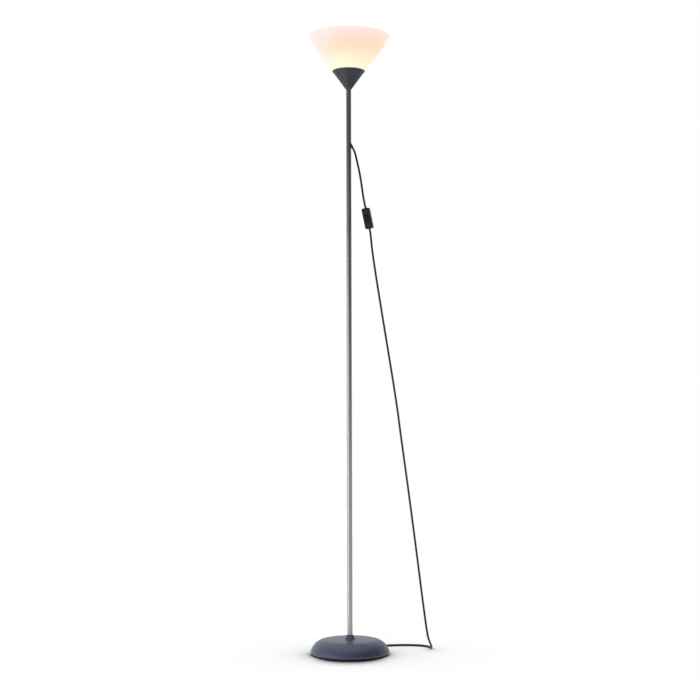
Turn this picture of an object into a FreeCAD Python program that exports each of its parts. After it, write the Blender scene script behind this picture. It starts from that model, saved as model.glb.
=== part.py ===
import FreeCAD, Part
import math
import os

# Torchiere floor lamp, in millimetres.
# +Z is up, the origin is the middle of the base on the floor, and the front faces -Y.

V = FreeCAD.Vector
UP = V(0, 0, 1)

# ---------------------------------------------------------------- overall sizes
overall_height = 1780.0
base_radius = 112.0
pole_radius = 7.5
pole_wall = 1.0
pole_section_count = 4
shade_rim_radius = 120.0
shade_depth = 98.0

# fits
slide_gap = 0.05          # a piece that slips into or over another, on the radius
press_gap = 0.02          # an insert driven into a tube, on the radius
loose_gap = 0.8           # a filling inside a cover

# base
cover_wall = 2.2
plateau_radius = 66.0
plateau_height = 43.5
dome_rise = 1.5           # the plateau rises this much towards the collar
shoulder_bulge = 9.6      # how far the shoulder's middle stands out of a straight slope
shoulder_lift = 5.5       # and how far it stands above it
shoulder_end_height = 9.5
cover_foot_height = 4.0
cover_foot_inset = 3.0    # how far the cover rolls in under its widest edge
cover_foot_land = 1.4     # width of the cover's lowest edge
weight_top_share = 0.22   # the weight's flat top ends this far out across the shoulder
weight_side_share = 0.565 # and its slope steepens this far out
weight_drop = 10.0        # height between those two places
weight_margin = 4.0       # further room beside the weight, for the rolled foot
weight_bore_gap = 0.3
plate_gap = 0.4           # between the plate and the cover's rolled foot
collar_radius = 16.0
collar_height = 11.0
collar_top_wall = 1.3
hub_radius = 14.0
hub_floor_thickness = 8.0
hub_below_plateau = 6.0   # the hub reaches this far under the plateau's edge
plate_thickness = 1.5
pocket_radius = 25.5
pocket_height = 11.0
foot_ring_width = 9.0
foot_ring_inset = 6.0
foot_ring_round = 1.0
nut_pocket_room = 1.0     # the stud stands this far out of its nut
stud_end_gap = 2.0        # the stud ends this far below the foot socket's top

# threads
rod_radius = 5.0          # M10 lamp rod
rod_bore_radius = 3.6
rod_nut_flats = 17.0
joint_thread_radius = 4.0
joint_thread_length = 22.0
joint_plug_length = 16.0
joint_socket_length = 26.0
foot_socket_length = 24.0
top_socket_length = 20.0
washer_radius = 10.5
washer_thickness = 1.6
base_nut_height = 8.0

# holder cone
holder_rim_radius = 47.0
holder_height = 53.0
holder_wall = 2.0
holder_neck_radius = 8.6
holder_socket_depth = 8.0
holder_floor = 3.0
holder_bead = 0.5
holder_bead_height = 1.8
holder_gap = 2.5          # open height between the holder's rim and the shade
holder_nut_height = 4.0

# shade
shade_foot_radius = 51.5
shade_wall = 2.0
shade_floor = 2.2
shade_belly = 1.6         # how far the wall bows outward at its middle
rim_round = 1.0
shade_hole_gap = 0.7

# lampholder, each layer outside the one before it, from the bulb's cap outward
bulb_gap = 0.9            # between the bulb's cap and the screw shell
screw_shell_wall = 0.5
insulator_margin = 0.7    # the ceramic disc stands out past the screw shell's bore
insulator_gap = 0.2
cap_wall = 2.0
shell_wall = 1.95
thread_step = 0.6
flange_width = 4.4
ring_flange_width = 7.4
lampholder_clearance = 0.8
cap_length = 21.0
cap_neck_radius = 9.0
cap_neck_length = 9.0
cap_lap = 5.0             # the shell slides this far over the cap
cap_sink = 4.0            # the insulator sits this far down in the cap
thread_length = 20.0
insulator_height = 7.0
terminal_offset = 9.5     # terminal screws, from the axis
terminal_screw_radius = 1.75
contact_rivet_radius = 1.5
ring_collar_wall = 2.8
ring_height = 11.0
ring_flange_height = 3.0
ring_notch_count = 18
ring_notch_radius = 1.4

# bulb
bulb_radius = 30.0
bulb_glass_wall = 1.0
bulb_cap_radius = 13.2
bulb_cap_length = 26.0
bulb_cap_wall = 0.5
bulb_thread_depth = 0.7
bulb_thread_pitch = 3.6
bulb_neck_lap = 4.0       # the glass reaches this far into the cap
bulb_contact_room = 2.8   # between the insulator and the bulb's tip
bulb_tip_length = 1.7     # from the tip to the foot of the metal cap
bulb_top_below_rim = 12.0

# cord and its exit from the pole
cord_radius = 3.0
cord_exit_drop = 163.0    # below the top of the pole, on the pole's axis
cord_exit_turn = -42.0    # degrees about Z, from +X
cord_exit_dip = 50.0      # degrees below level
bush_radius = 3.9
bush_mouth_radius = 3.5
bush_root_radius = 4.5
bush_length = 22.0        # from the pole's axis to the bush's mouth
bush_start = 5.0
bush_barrel_start = 7.0
cord_bush_depth = 9.0     # the inner and the upper cord meet this far from the axis
cord_exit_lead = 34.0     # the cord is straight this far from the axis
wire_radius = 0.9

# inline switch
switch_length = 60.0
switch_width = 22.0
switch_depth = 17.0
switch_wall = 1.8
switch_corner = 4.0
switch_edge = 1.6
switch_top = V(47.7, -26.0, 1275.0)
switch_bottom = V(59.8, -23.8, 1215.0)
switch_turn = 18.0        # degrees, the front face turned towards -X
switch_cord_depth = 12.0  # the cord reaches this far into each end
switch_cord_lead = 13.0   # the cord is straight this far beyond each end
rocker_length = 20.8
rocker_width = 11.0
rocker_gap = 0.4
rocker_swing = 10.0       # degrees each side of level
rocker_pivot_depth = 4.5  # in front of the case's split
rocker_pin_radius = 1.2
plunger_radius = 1.4
seesaw_tilt = 7.0
seesaw_half_length = 8.0
seesaw_half_thickness = 0.4
seesaw_depth = 0.8        # middle of the strip, behind the case's split
terminal_gap = 0.1        # between the terminals and the back of the case
pad_end_room = 3.8        # between a finger pad and the end of the case
case_screw_inset = 5.5    # from the end of the case
case_screw_x = 7.0
case_screw_radius = 1.2
case_post_radius = 2.6
clamp_inset = 10.5        # from the end of the case
clamp_half_width = 2.0
clamp_side_gap = 2.8      # between the cord and each clamp screw's axis
clamp_end = 2.2           # of the bar beyond each screw's axis
clamp_post_radius = 2.0
clamp_post_drop = 0.1     # the posts end this far below the top of the cord
clamp_screw_radius = 0.8
clamp_head_height = 0.98
clamp_head_gap = 0.5      # between the screw heads and the back of the case

# free cord, chosen points of its route
# upper cord: from inside the bush to the top of the switch
upper_route = [
    (22.1, -20.5, 1419.0),
    (29.6, -24.3, 1385.0),
    (36.1, -26.0, 1348.0),
    (40.2, -26.6, 1314.0),
]
# lower cord: from the bottom of the switch to the coil on the floor
lower_route = [
    (66.5, -22.0, 1150.0),
    (89.8, -10.5, 1000.0),
    (135.5, 9.5, 720.0),
    (146.5, 16.5, 632.0),
    (158.0, 22.5, 549.0),
    (169.2, 28.5, 466.0),
    (180.0, 34.5, 384.0),
    (190.5, 40.5, 303.0),
    (200.5, 46.0, 224.0),
    (210.0, 51.0, 148.0),
    (218.0, 55.5, 88.0),
    (225.0, 60.0, 39.1),
    (234.2, 73.2, 16.2),
    (239.3, 97.4, 3.05),
    (229.7, 123.7, 3.05),
    (206.7, 143.0, 3.05),
    (170.0, 150.6, 3.05),
    (127.0, 146.5, 3.05),
    (88.0, 136.0, 3.05),
]
coil_centre = V(30.0, 172.0, 0)
coil_radius = 36.0
coil_slack = 0.3          # between turns, and round them
coil_turns = 2
coil_edge = 1.5
coil_stub = 22.0
floor_lift = 0.05         # the cord's underside above the floor
tail_route = [
    (-1.0, 136.0, 9.35),
    (-14.0, 136.0, 7.0),
]

# plug
plug_height = 14.0
plug_width = 36.0
plug_length = 34.0
plug_relief_start = -20.0
plug_relief_length = 20.0
plug_relief_root = 5.6
plug_relief_tip = 3.8
plug_cord_depth = 7.0     # the cord reaches this far into the strain relief
pin_radius = 2.0
pin_length = 19.0
pin_tip_length = 1.2
pin_tip_radius = 1.0
pin_root_radius = 1.6     # the part of each pin that is moulded in
pin_root_length = 8.9
pin_shoulder = 0.3        # the full radius starts this far outside the plug
pin_spacing = 18.6

# ---------------------------------------------------------------- derived places
hub_bottom = plateau_height - hub_below_plateau
pole_foot = hub_bottom + hub_floor_thickness
plate_bottom = cover_foot_height
plate_top = plate_bottom + plate_thickness
pocket_top = plate_top + pocket_height
shade_foot = overall_height - shade_depth
holder_rim = shade_foot - holder_gap
holder_bottom = holder_rim - holder_height
pole_top = holder_bottom + holder_socket_depth
section_length = (pole_top - pole_foot) / pole_section_count
pole_inner = pole_radius - pole_wall
insert_radius = pole_inner - press_gap
screw_shell_radius = bulb_cap_radius + bulb_gap
insulator_radius = screw_shell_radius + insulator_margin
cap_radius = insulator_radius + insulator_gap + cap_wall
shell_radius = cap_radius + slide_gap + shell_wall
thread_radius = shell_radius + thread_step
flange_radius = thread_radius + flange_width
ring_flange_radius = thread_radius + ring_flange_width
holder_floor_top = pole_top + holder_floor
holder_nut_bottom = holder_floor_top + washer_thickness
cap_bottom = holder_nut_bottom + holder_nut_height + lampholder_clearance
cap_top = cap_bottom + cap_length
insulator_bottom = cap_top - cap_sink
insulator_top = insulator_bottom + insulator_height
shell_top = shade_foot + thread_length
bulb_top = overall_height - bulb_top_below_rim
bulb_centre = bulb_top - bulb_radius
bulb_tip = insulator_top + bulb_contact_room
bulb_cap_bottom = bulb_tip + bulb_tip_length
bulb_cap_top = bulb_cap_bottom + bulb_cap_length
bulb_neck_radius = bulb_cap_radius - bulb_thread_depth - bulb_cap_wall - slide_gap
exit_point = V(0, 0, pole_top - cord_exit_drop)
case_back = switch_depth / 2 - switch_wall          # inner faces of the switch case
case_front = -case_back
clamp_top = case_back - clamp_head_gap - clamp_head_height
terminal_back = case_back - terminal_gap
coil_pitch = 2 * cord_radius + coil_slack
coil_half = cord_radius + coil_slack
coil_front = coil_centre.y - coil_radius
coil_level = cord_radius + floor_lift
coil_top_level = coil_level + (coil_turns - 1) * coil_pitch
coil_top = coil_top_level + coil_level
plug_back = plug_relief_start - plug_relief_length
plug_front = plug_back - plug_length


def save(name, shape):
    """Write one node, after a check that it is a sound solid or group of solids."""
    if shape.Volume < 0:
        shape.reverse()
    if not shape.isValid() or not shape.Solids:
        print("NOT SOUND", name)
    shape.exportStep("parts/" + name + ".step")
    print(name, len(shape.Solids), round(shape.Volume, 1))


def outline(start, *steps):
    """Closed face in the XZ plane: a step is (x, z), or (middle, end) for an arc."""
    here = V(start[0], 0, start[1])
    edges = []
    for step in steps + (start,):
        if isinstance(step[0], tuple):
            middle = V(step[0][0], 0, step[0][1])
            there = V(step[1][0], 0, step[1][1])
            edges.append(Part.Arc(here, middle, there).toShape())
        else:
            there = V(step[0], 0, step[1])
            if there.distanceToPoint(here) > 1e-6:
                edges.append(Part.LineSegment(here, there).toShape())
        here = there
    return Part.Face(Part.Wire(edges))


def rounding(radius, height, size, out=1, up=1):
    """Middle of the quarter arc that rounds a corner which points out and up, or in or down."""
    inset = size * (1 - math.sqrt(0.5))
    return (radius - out * inset, height - up * inset)


def dome(radius, low, high):
    """Arc of a ball centred on the axis, from (radius, low) up to the axis at high."""
    rise = high - low
    ball = (radius ** 2 + rise ** 2) / (2 * rise)
    half = math.asin(min(radius / ball, 1.0)) / 2
    return ((ball * math.sin(half), high - ball + ball * math.cos(half)), (0, high))


def turned(start, *steps):
    """Solid turned about the lamp's axis from an outline of (radius, height)."""
    solid = outline(start, *steps).revolve(V(0, 0, 0), UP, 360)
    if solid.Volume < 0:
        solid.reverse()
    return solid


def ring(outer, inner, bottom, top):
    """Plain tube or washer about the lamp's axis."""
    body = Part.makeCylinder(outer, top - bottom, V(0, 0, bottom))
    return body.cut(Part.makeCylinder(inner, top - bottom + 2, V(0, 0, bottom - 1)))


def hex_nut(flats, bore, bottom, height):
    """Hexagon nut about the lamp's axis, with its corners turned off."""
    corner = flats / math.sqrt(3)
    points = [V(corner * math.cos(math.radians(a)), corner * math.sin(math.radians(a)), bottom)
              for a in range(0, 361, 60)]
    prism = Part.Face(Part.makePolygon(points)).extrude(V(0, 0, height))
    slope = corner - flats / 2
    blank = turned((0, bottom), (flats / 2, bottom), (corner, bottom + slope),
                   (corner, bottom + height - slope), (flats / 2, bottom + height), (0, bottom + height))
    return prism.common(blank).cut(Part.makeCylinder(bore, height + 2, V(0, 0, bottom - 1)))


def box(low, high):
    """Box between two corners."""
    return Part.makeBox(high[0] - low[0], high[1] - low[1], high[2] - low[2], V(*low))


def route_wire(points, share=0.45):
    """Straight runs joined by tangent arcs, each as large as its two runs allow."""
    points = [V(*p) for p in points]
    edges = []
    radii = []
    here = points[0]
    for before, corner, after in zip(points, points[1:], points[2:]):
        back = before - corner
        ahead = after - corner
        room = share * min(back.Length, ahead.Length)
        back.normalize()
        ahead.normalize()
        half_turn = (math.pi - back.getAngle(ahead)) / 2
        radius = room / math.tan(half_turn)
        start = corner + back * room
        end = corner + ahead * room
        inward = back + ahead
        inward.normalize()
        middle = corner + inward * (radius / math.cos(half_turn) - radius)
        edges.append(Part.LineSegment(here, start).toShape())
        edges.append(Part.Arc(start, middle, end).toShape())
        radii.append(round(radius, 1))
        here = end
    edges.append(Part.LineSegment(here, points[-1]).toShape())
    return Part.Wire(edges), radii


def tube(name, points, radius, share=0.45):
    """Round cord or wire along a route, with its radii and volume printed."""
    path, radii = route_wire(points, share)
    first = V(*points[1]) - V(*points[0])
    section = Part.Wire([Part.makeCircle(radius, V(*points[0]), first)])
    solid = path.makePipeShell([section], True, False)
    expected = math.pi * radius ** 2 * path.Length
    if solid.Volume < 0:
        solid.reverse()
    print("route of", name, "length", round(path.Length, 1), "volume ratio",
          round(solid.Volume / expected, 4), "radii", radii)
    return solid


# ---------------------------------------------------------------- base
def base_cover():
    """Domed moulded cover with the collar that takes the pole's foot."""
    bore = pole_radius + slide_gap
    foot_radius = base_radius - cover_foot_inset
    inner_plateau = plateau_height - cover_wall
    shoulder_middle = ((plateau_radius + base_radius) / 2 + shoulder_bulge,
                       (plateau_height + shoulder_end_height) / 2 + shoulder_lift)
    inner_middle = (shoulder_middle[0] - cover_wall * 0.6, shoulder_middle[1] - cover_wall * 0.8)
    lip = cover_foot_height
    return turned(
        (bore, plateau_height + dome_rise + collar_height),
        (bore + collar_top_wall, plateau_height + dome_rise + collar_height),
        (collar_radius, plateau_height + dome_rise),
        (plateau_radius, plateau_height),
        (shoulder_middle, (base_radius, shoulder_end_height)),
        ((base_radius - 0.6, shoulder_end_height - 3.3), (foot_radius, lip)),
        (foot_radius - cover_foot_land, lip),
        (base_radius - cover_wall, shoulder_end_height),
        (inner_middle, (plateau_radius - 0.3, inner_plateau)),
        (hub_radius, inner_plateau + dome_rise * 0.8),
        (hub_radius, hub_bottom),
        (rod_radius + slide_gap, hub_bottom),
        (rod_radius + slide_gap, pole_foot),
        (bore, pole_foot),
    )


def base_weight():
    """Cast weight under the cover, clear of it all round."""
    recess = pocket_radius + plate_thickness + loose_gap
    shoulder = base_radius - plateau_radius
    side = base_radius - cover_wall - cover_foot_inset - loose_gap - weight_margin
    return turned(
        (rod_radius + weight_bore_gap, hub_bottom),
        (plateau_radius + shoulder * weight_top_share, hub_bottom),
        (plateau_radius + shoulder * weight_side_share, hub_bottom - weight_drop),
        (side, shoulder_end_height + 3.0),
        (side, plate_top),
        (recess, plate_top),
        (recess, pocket_top),
        (rod_radius + weight_bore_gap, pocket_top),
    )


def base_plate():
    """Pressed steel plate under the weight, with a raised pocket for the nut."""
    edge = base_radius - cover_foot_inset - cover_foot_land - plate_gap
    inner_top = pocket_top - plate_thickness
    return turned(
        (edge, plate_bottom), (edge, plate_top),
        (pocket_radius + plate_thickness, plate_top), (pocket_radius + plate_thickness, pocket_top),
        (rod_radius + slide_gap, pocket_top), (rod_radius + slide_gap, inner_top),
        (pocket_radius, inner_top), (pocket_radius, plate_bottom),
    )


def foot_ring():
    """Black rubber ring that the base stands on, with rounded lower edges."""
    outer = base_radius - foot_ring_inset
    inner = outer - foot_ring_width
    edge = foot_ring_round
    return turned(
        (inner, plate_bottom), (inner, edge), (rounding(inner, 0, edge, -1, -1), (inner + edge, 0)),
        (outer - edge, 0), (rounding(outer, 0, edge, 1, -1), (outer, edge)), (outer, plate_bottom),
    )


def build_base():
    nut_top = pocket_top - plate_thickness - washer_thickness
    save("base_cover", base_cover())
    save("base_weight", base_weight())
    save("base_plate", base_plate())
    save("foot_ring", foot_ring())
    save("base_washer", ring(washer_radius, rod_radius + slide_gap, nut_top, nut_top + washer_thickness))
    save("base_nut", hex_nut(rod_nut_flats, rod_radius + slide_gap, nut_top - base_nut_height,
                             base_nut_height))
    rod_bottom = nut_top - base_nut_height - nut_pocket_room
    rod_top = pole_foot + foot_socket_length - stud_end_gap
    save("foot_stud", Part.makeCylinder(rod_radius, rod_top - rod_bottom, V(0, 0, rod_bottom)))


# ---------------------------------------------------------------- pole
def exit_direction():
    """Unit direction in which the cord leaves the pole."""
    turn = math.radians(cord_exit_turn)
    dip = math.radians(cord_exit_dip)
    return V(math.cos(dip) * math.cos(turn), math.cos(dip) * math.sin(turn), -math.sin(dip))


def along_exit(distance):
    """Point on the exit's axis, this far from the pole's axis."""
    return exit_point + exit_direction() * distance


def pole_section(number):
    """One tube of the pole; the last has the slanting hole for the cord."""
    bottom = pole_foot + (number - 1) * section_length
    body = ring(pole_radius, pole_inner, bottom, bottom + section_length)
    if bottom < exit_point.z < bottom + section_length:
        hole = Part.makeCylinder(bush_radius + slide_gap, bush_length, along_exit(2), exit_direction())
        body = body.cut(hole)
    return body


def joint_stud(height):
    """Plug pressed into the foot of a section, with its threaded end below."""
    plug = Part.makeCylinder(insert_radius, joint_plug_length, V(0, 0, height))
    thread = Part.makeCylinder(joint_thread_radius, joint_thread_length + 1,
                               V(0, 0, height - joint_thread_length))
    return plug.fuse(thread).removeSplitter()


def cord_bush():
    """Slanting sleeve in the pole's hole, tapered where it stands out."""
    way = exit_direction()
    outside = Part.makeCone(bush_root_radius, bush_mouth_radius, bush_length - bush_start,
                            along_exit(bush_start), way)
    outside = outside.cut(Part.makeCylinder(pole_radius + press_gap, 80, exit_point - UP * 40))
    barrel = Part.makeCylinder(bush_radius, 9, along_exit(bush_barrel_start), way)
    body = outside.fuse(barrel).removeSplitter()
    return body.cut(Part.makeCylinder(cord_radius + slide_gap, bush_length + 10, along_exit(0), way))


def inner_cord_points():
    """Cord inside the pole, from the bush up into the lamp rod."""
    level = exit_direction()
    level.z = 0
    level.normalize()
    back = level * -1.8
    corner = V(back.x, back.y, exit_point.z + 1.8 * math.tan(math.radians(cord_exit_dip)))
    return [
        along_exit(cord_bush_depth),
        corner,
        V(back.x, back.y, corner.z + 22),
        V(back.x * 0.45, back.y * 0.45, corner.z + 52),
        V(0, 0, corner.z + 90),
        V(0, 0, cap_bottom + 4),
    ]


def build_pole():
    for number in range(1, pole_section_count + 1):
        save("pole_section_%d" % number, pole_section(number))
    for number in range(1, pole_section_count):
        joint = pole_foot + number * section_length
        save("pole_socket_%d" % number,
             ring(insert_radius, joint_thread_radius + slide_gap, joint - joint_socket_length, joint))
        save("pole_stud_%d" % number, joint_stud(joint))
    save("foot_socket", ring(insert_radius, rod_radius + press_gap, pole_foot,
                             pole_foot + foot_socket_length))
    save("top_socket", ring(insert_radius, rod_radius + press_gap, pole_top - top_socket_length, pole_top))
    save("cord_bush", cord_bush())
    save("inner_cord", tube("inner_cord", inner_cord_points(), cord_radius, 0.49))


# ---------------------------------------------------------------- head
def holder_radius(height):
    """Outer radius of the holder cone at a height."""
    rise = (height - holder_bottom) / holder_height
    return holder_neck_radius + rise * (holder_rim_radius - holder_neck_radius)


def holder_cone():
    """Dark cup that carries the shade's cone down to the pole."""
    slant = holder_wall * 1.24
    bead_bottom = holder_rim - holder_bead_height
    bead = holder_rim_radius + holder_bead
    return turned(
        (holder_neck_radius, holder_bottom),
        (holder_radius(bead_bottom), bead_bottom),
        (bead, bead_bottom + 0.4),
        (bead, holder_rim - 0.5), (rounding(bead, holder_rim, 0.5), (bead - 0.5, holder_rim)),
        (holder_rim_radius - slant, holder_rim),
        (holder_radius(holder_floor_top) - slant, holder_floor_top),
        (rod_radius + slide_gap, holder_floor_top),
        (rod_radius + slide_gap, pole_top),
        (pole_radius + slide_gap, pole_top),
        (pole_radius + slide_gap, holder_bottom),
    )


def shade():
    """Open bowl with a bowed conical wall and a flat floor with the hole for the lampholder."""
    hole = thread_radius + shade_hole_gap
    middle_radius = (shade_rim_radius + shade_foot_radius) / 2 + shade_belly * 0.82
    middle_height = overall_height - shade_depth / 2 - shade_belly * 0.57
    inward = shade_wall * 0.82
    down = shade_wall * 0.57
    rim_inner = shade_rim_radius - shade_wall * 1.22
    foot_inner = shade_foot_radius - shade_wall * 1.22 + shade_floor * 0.7
    return turned(
        (hole, shade_foot),
        (shade_foot_radius - 1.5, shade_foot),
        ((shade_foot_radius - 0.3, shade_foot + 0.35), (shade_foot_radius + 0.6, shade_foot + 1.3)),
        ((middle_radius, middle_height), (shade_rim_radius, overall_height - rim_round)),
        (rounding(shade_rim_radius, overall_height, rim_round),
         (shade_rim_radius - rim_round, overall_height)),
        (rim_inner, overall_height),
        ((middle_radius - inward, middle_height + down), (foot_inner, shade_foot + shade_floor)),
        (hole, shade_foot + shade_floor),
    )


def lamp_rod():
    """Hollow threaded rod through the pole's top socket, the holder and the lampholder cap."""
    bottom = pole_top - top_socket_length + 2
    return ring(rod_radius, rod_bore_radius, bottom, cap_bottom + cap_neck_length - 1)


def lampholder_cap():
    """Lower half of the lampholder's case."""
    inner = cap_radius - cap_wall
    return turned(
        (rod_radius + press_gap, cap_bottom),
        (cap_neck_radius, cap_bottom),
        (cap_neck_radius, cap_bottom + 3),
        ((cap_radius - 2.2, cap_bottom + 6.5), (cap_radius, cap_bottom + 12)),
        (cap_radius, cap_top),
        (inner, cap_top),
        (inner, cap_bottom + 13),
        (inner - 6, cap_bottom + cap_neck_length),
        (rod_radius + press_gap, cap_bottom + cap_neck_length),
    )


def lampholder_shell():
    """Upper half of the lampholder's case, with its flange and outer thread."""
    sleeve = cap_radius + slide_gap
    bore = screw_shell_radius + screw_shell_wall + 0.6
    step = cap_top + 0.2
    return turned(
        (sleeve, cap_top - cap_lap),
        (shell_radius, cap_top - cap_lap),
        (shell_radius, shade_foot - 2.5),
        (flange_radius, shade_foot - 1.5),
        (flange_radius, shade_foot),
        (thread_radius, shade_foot),
        (thread_radius, shell_top - 0.8),
        (thread_radius - 0.8, shell_top),
        (bore, shell_top),
        (bore, step),
        (sleeve, step),
    )


def lampholder_insulator():
    """Ceramic disc that carries the contacts, with two wire holes."""
    disc = Part.makeCylinder(insulator_radius, insulator_height, V(0, 0, insulator_bottom))
    for side in (-1, 1):
        disc = disc.cut(Part.makeCylinder(terminal_screw_radius + slide_gap, insulator_height + 2,
                                          V(side * terminal_offset, 0, insulator_bottom - 1)))
    rivet = Part.makeCylinder(contact_rivet_radius + slide_gap, insulator_height + 2,
                              V(0, 0, insulator_bottom - 1))
    return disc.cut(rivet)


def screw_shell():
    """Thin threaded shell that takes the bulb's cap, with its floor."""
    outer = screw_shell_radius + screw_shell_wall
    floor = insulator_top + 0.6
    return turned(
        (5.5, insulator_top), (outer, insulator_top), (outer, shell_top - 3),
        (screw_shell_radius, shell_top - 3), (screw_shell_radius, floor), (5.5, floor),
    )


def centre_contact():
    """Riveted contact under the bulb's tip."""
    return turned(
        (0, insulator_bottom + 1), (contact_rivet_radius, insulator_bottom + 1),
        (contact_rivet_radius, insulator_top),
        (4.2, insulator_top), (4.2, insulator_top + 0.8), (2.6, insulator_top + 1.0),
        dome(2.6, insulator_top + 1.0, insulator_top + 2.7),
    )


def terminal_screws():
    """Two screws under the insulator, one for each wire."""
    screws = []
    for side in (-1, 1):
        x = side * terminal_offset
        shank = Part.makeCylinder(terminal_screw_radius, insulator_height - 1, V(x, 0, insulator_bottom))
        head = Part.makeCylinder(3.0, 2.2, V(x, 0, insulator_bottom - 2.2))
        slot = box((x - 4, -0.4, insulator_bottom - 3), (x + 4, 0.4, insulator_bottom - 1.5))
        screws.append(shank.fuse(head).cut(slot))
    return Part.Compound(screws)


def shade_ring():
    """Threaded ring that clamps the shade's floor onto the lampholder's flange."""
    bore = thread_radius + slide_gap
    bottom = shade_foot + shade_floor + 0.1
    body = turned(
        (bore, bottom), (ring_flange_radius, bottom),
        (ring_flange_radius, bottom + ring_flange_height),
        (bore + ring_collar_wall, bottom + ring_flange_height + 0.8),
        (bore + ring_collar_wall - 0.4, bottom + ring_height), (bore, bottom + ring_height),
    )
    for index in range(ring_notch_count):
        angle = 2 * math.pi * index / ring_notch_count
        reach = ring_flange_radius + 0.4
        place = V(math.cos(angle) * reach, math.sin(angle) * reach, bottom - 1)
        body = body.cut(Part.makeCylinder(ring_notch_radius, ring_flange_height + 2, place))
    return body


def head_wire(side):
    """Wire from the end of the cord in the rod to its terminal screw."""
    start = cap_bottom + 4
    turn_height = insulator_bottom - 3.4
    return tube("head_wire", [
        V(side * 1.4, 0, start), V(side * 1.4, 0, turn_height - 2.6),
        V(side * 3.0, 0, turn_height), V(side * 5.4, 0, insulator_bottom - 1.4),
    ], wire_radius)


def build_head():
    save("holder_cone", holder_cone())
    save("holder_washer", ring(washer_radius - 1.0, rod_radius + slide_gap, holder_floor_top,
                               holder_nut_bottom))
    save("holder_nut", hex_nut(rod_nut_flats, rod_radius + slide_gap, holder_nut_bottom, holder_nut_height))
    save("lamp_rod", lamp_rod())
    save("shade", shade())
    save("lampholder_cap", lampholder_cap())
    save("lampholder_shell", lampholder_shell())
    save("lampholder_insulator", lampholder_insulator())
    save("screw_shell", screw_shell())
    save("centre_contact", centre_contact())
    save("terminal_screws", terminal_screws())
    save("shade_ring", shade_ring())
    save("head_wire_live", head_wire(1))
    save("head_wire_neutral", head_wire(-1))


# ---------------------------------------------------------------- bulb
def globe_point(radius, degrees):
    """Point (radius, height) on the bulb's globe, measured up from level."""
    angle = math.radians(degrees)
    return (radius * math.cos(angle), bulb_centre + radius * math.sin(angle))


def bulb_glass():
    """Pear-shaped envelope, open at its neck."""
    inner = bulb_radius - bulb_glass_wall
    neck = bulb_neck_radius
    neck_bottom = bulb_cap_top - bulb_neck_lap
    join = globe_point(bulb_radius, -31)
    inner_join = globe_point(inner, -31)
    middle = (neck + (join[0] - neck) * 0.38, bulb_cap_top + 2 + (join[1] - bulb_cap_top - 2) * 0.58)
    return turned(
        (neck, neck_bottom), (neck, bulb_cap_top + 2),
        (middle, join),
        (globe_point(bulb_radius, 30), (0, bulb_centre + bulb_radius)),
        (0, bulb_centre + inner),
        (globe_point(inner, 30), inner_join),
        ((middle[0] - bulb_glass_wall, middle[1] + 0.4), (neck - bulb_glass_wall, bulb_cap_top + 2)),
        (neck - bulb_glass_wall, neck_bottom),
    )


def bulb_cap():
    """Screw cap with rolled threads."""
    steps = []
    height = bulb_cap_bottom + 3
    valley = bulb_cap_radius - bulb_thread_depth
    while height + bulb_thread_pitch < bulb_cap_top - 3:
        crest = (bulb_cap_radius, height + bulb_thread_pitch / 2)
        height += bulb_thread_pitch
        steps.append((crest, (valley, height)))
    start = bulb_cap_bottom
    inner = valley - bulb_cap_wall
    return turned(
        (5.0, start), (9.5, start), (valley, start + 3), *steps,
        (valley, bulb_cap_top), (inner, bulb_cap_top), (inner, start + 3.4),
        (9.2, start + 0.6), (5.0, start + 0.6),
    )


def build_bulb():
    save("bulb_glass", bulb_glass())
    save("bulb_cap", bulb_cap())
    save("bulb_insulator", turned((2.6, bulb_tip + 0.6), (4.9, bulb_tip + 0.6),
                                  (4.9, bulb_cap_bottom + 0.6), (2.6, bulb_cap_bottom + 0.6)))
    save("bulb_contact", turned((0, bulb_tip), (1.6, bulb_tip), (2.5, bulb_tip + 0.5),
                                (2.5, bulb_tip + 2.2), (0, bulb_tip + 2.2)))
    stem_bottom = bulb_cap_top - bulb_neck_lap
    stem_top = bulb_centre - 10
    flare = bulb_neck_radius - bulb_glass_wall - slide_gap
    save("bulb_stem", turned((0, stem_bottom), (flare, stem_bottom), (flare, stem_bottom + 1.2),
                             (4.5, stem_bottom + 8), (2.4, stem_top - 6), (2.4, stem_top), (0, stem_top)))
    save("bulb_filament", filament(stem_top))


def filament(stem_top):
    """Two support wires that stand on the stem's head, and the arched filament between them."""
    foot = 1.2
    lead = 2.5
    span = 11.0
    height = bulb_centre + 4
    return tube("filament", [
        V(-foot, 0, stem_top), V(-foot, 0, stem_top + lead), V(-span, 0, height - 2), V(-5.5, 0, height + 5),
        V(5.5, 0, height + 5), V(span, 0, height - 2), V(foot, 0, stem_top + lead), V(foot, 0, stem_top),
    ], 0.35, 0.25)


# ---------------------------------------------------------------- inline switch
def switch_frame():
    """Placement of the switch: its Z runs up the cord, its front faces -Y."""
    axis = switch_top - switch_bottom
    turn = math.radians(switch_turn)
    across = V(math.cos(turn), -math.sin(turn), 0)
    centre = (switch_top + switch_bottom) * 0.5
    return FreeCAD.Placement(centre, FreeCAD.Rotation(across, V(), axis, "ZXY"))


def in_place(shape):
    """Copy of a switch piece, moved from its own frame to the cord."""
    moved = shape.copy()
    moved.Placement = switch_frame().multiply(moved.Placement)
    return moved


def switch_point(x, y, z):
    """Point of the switch's own frame, in the lamp's frame."""
    return switch_frame().multVec(V(x, y, z))


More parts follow.
